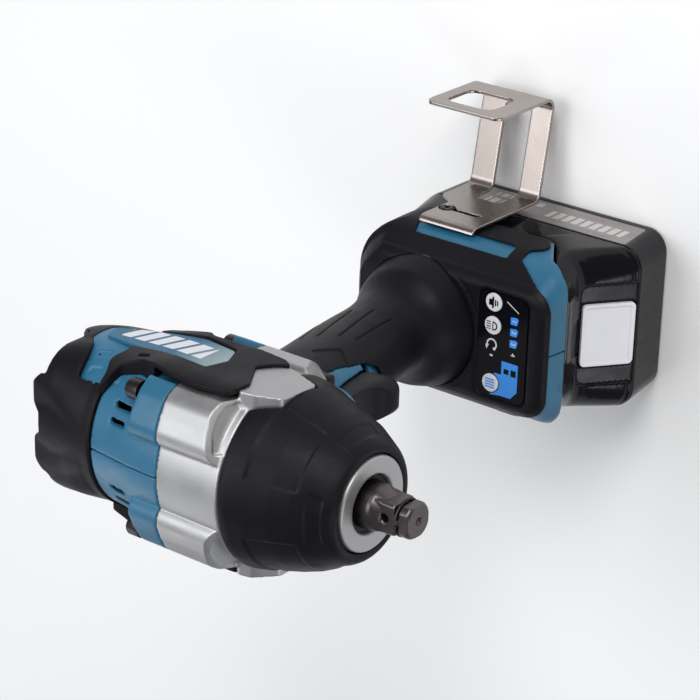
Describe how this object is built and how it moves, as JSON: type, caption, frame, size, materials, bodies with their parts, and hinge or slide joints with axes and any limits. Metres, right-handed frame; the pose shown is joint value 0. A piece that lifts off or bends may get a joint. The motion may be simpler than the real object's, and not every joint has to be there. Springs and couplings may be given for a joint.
{
  "type": "impact wrench",
  "caption": "Cordless pistol-grip impact wrench with a square drive, hammer mechanism, planetary motor drive, sliding battery, trigger, reversing bar and belt hook.",
  "frame": {"origin": "on the battery's rest face, under the handle, on the tool's middle plane", "axes": "+X forwards along the drive axis, +Y to the tool's left (the belt hook's side), +Z from the battery up to the head"},
  "size_m": [0.1701, 0.1274, 0.2736],
  "materials": {
    "teal_plastic": "satin moulded",
    "black_soft": "matt soft overmould",
    "silver_case": "satin blasted",
    "dark_steel": "phosphated, dark",
    "steel": "ground",
    "black_steel": "black oxide",
    "bronze": "sintered",
    "copper_stack": "wound laminations",
    "board": "green board",
    "black_plastic": "fine grain",
    "panel_gloss": "gloss film",
    "button_white": "satin",
    "battery_gloss": "gloss moulded",
    "battery_body": "satin moulded",
    "release_white": "satin",
    "hook_steel": "nickel plated",
    "lens": "clear",
    "cell_wrap": "shrink wrap"
  },
  "bodies": {
    "tool": {"housing_left": "teal_plastic", "housing_right": "teal_plastic", "rear_cap": "black_soft", "bumper_left": "black_soft", "bumper_right": "black_soft", "hammer_case": "silver_case", "front_boot": "black_soft", "case_bolt_1": "black_steel", "case_bolt_2": "black_steel", "case_bolt_3": "black_steel", "case_bolt_4": "black_steel", "ring_gear": "steel", "bearing_plate": "silver_case", "front_bearing": "steel", "rear_bearing": "steel", "anvil_bushing": "bronze", "stator": "copper_stack", "sensor_board": "board", "grip_sleeve": "black_soft", "trigger_switch": "black_plastic", "trigger_spring": "steel", "lamp_lens": "lens", "foot_cover": "black_soft", "control_panel": "panel_gloss", "controller_board": "board", "terminal_block": "black_plastic", "belt_hook": "hook_steel", "hook_screw": "black_steel"},
    "spindle": {"spindle": "steel", "planet_pin_1": "steel", "planet_pin_2": "steel", "planet_pin_3": "steel", "cam_ball_1": "steel", "cam_ball_2": "steel", "hammer_spring": "steel"},
    "hammer": {"hammer": "dark_steel"},
    "anvil": {"anvil": "dark_steel", "friction_ring": "black_steel"},
    "rotor": {"rotor_shaft": "steel", "rotor_core": "copper_stack", "cooling_fan": "black_plastic"},
    "planet_1": {"planet_gear_1": "steel"},
    "planet_2": {"planet_gear_2": "steel"},
    "planet_3": {"planet_gear_3": "steel"},
    "trigger": {"trigger": "black_plastic"},
    "direction_lever": {"direction_lever": "black_plastic"},
    "mode_button": {"mode_button": "button_white"},
    "lamp_button": {"lamp_button": "button_white"},
    "stop_button": {"stop_button": "button_white"},
    "battery": {"battery_lower_case": "battery_body", "battery_upper_case": "battery_gloss", "cell_pair_1": "cell_wrap", "cell_pair_2": "cell_wrap", "cell_pair_3": "cell_wrap", "cell_pair_4": "cell_wrap", "cell_pair_5": "cell_wrap"},
    "release_button": {"release_button": "release_white"}
  },
  "joints": [
    {"name": "spindle_spin", "type": "hinge", "parent": "tool", "child": "spindle", "pos_m": [0, 0, 0.2352], "axis": [1, 0, 0], "continuous": true},
    {"name": "hammer_slide", "type": "slide", "parent": "spindle", "child": "hammer", "axis": [-1, 0, 0], "range_m": [0, 0.008], "stiffness_N_per_m": 5000, "springref_m": -0.002, "deforming": ["hammer_spring"]},
    {"name": "anvil_spin", "type": "hinge", "parent": "tool", "child": "anvil", "pos_m": [0, 0, 0.2352], "axis": [1, 0, 0], "continuous": true},
    {"name": "rotor_spin", "type": "hinge", "parent": "tool", "child": "rotor", "pos_m": [0, 0, 0.2352], "axis": [1, 0, 0], "continuous": true},
    {"name": "planet_spin_1", "type": "hinge", "parent": "spindle", "child": "planet_1", "pos_m": [-0.0085, 0, 0.2502], "axis": [1, 0, 0], "continuous": true},
    {"name": "planet_spin_2", "type": "hinge", "parent": "spindle", "child": "planet_2", "pos_m": [-0.0085, -0.01299, 0.2277], "axis": [1, 0, 0], "continuous": true},
    {"name": "planet_spin_3", "type": "hinge", "parent": "spindle", "child": "planet_3", "pos_m": [-0.0085, 0.01299, 0.2277], "axis": [1, 0, 0], "continuous": true},
    {"name": "trigger_pull", "type": "slide", "parent": "tool", "child": "trigger", "axis": [-1, 0, 0], "range_m": [0, 0.007], "stiffness_N_per_m": 1100, "springref_m": -0.004, "deforming": ["trigger_spring"]},
    {"name": "direction_push", "type": "slide", "parent": "tool", "child": "direction_lever", "axis": [0, 1, 0], "range_m": [-0.0025, 0.0025]},
    {"name": "mode_press", "type": "slide", "parent": "tool", "child": "mode_button", "axis": [0, 0, -1], "range_m": [0, 0.0006], "stiffness_N_per_m": 1500, "springref_m": -0.0004},
    {"name": "lamp_press", "type": "slide", "parent": "tool", "child": "lamp_button", "axis": [0, 0, -1], "range_m": [0, 0.0006], "stiffness_N_per_m": 1500, "springref_m": -0.0004},
    {"name": "stop_press", "type": "slide", "parent": "tool", "child": "stop_button", "axis": [0, 0, -1], "range_m": [0, 0.0006], "stiffness_N_per_m": 1500, "springref_m": -0.0004},
    {"name": "battery_slide", "type": "slide", "parent": "tool", "child": "battery", "axis": [1, 0, 0], "range_m": [0, 0.1]},
    {"name": "release_press", "type": "slide", "parent": "battery", "child": "release_button", "axis": [-0.7981, 0, -0.6025], "range_m": [0, 0.003], "stiffness_N_per_m": 1500, "springref_m": -0.002}
  ],
  "couplings": [
    {"joint": "anvil_spin", "follows": "spindle_spin", "ratio": 1},
    {"joint": "rotor_spin", "follows": "spindle_spin", "ratio": 5.3333},
    {"joint": "planet_spin_1", "follows": "spindle_spin", "ratio": -2.6},
    {"joint": "planet_spin_2", "follows": "spindle_spin", "ratio": -2.6},
    {"joint": "planet_spin_3", "follows": "spindle_spin", "ratio": -2.6}
  ]
}
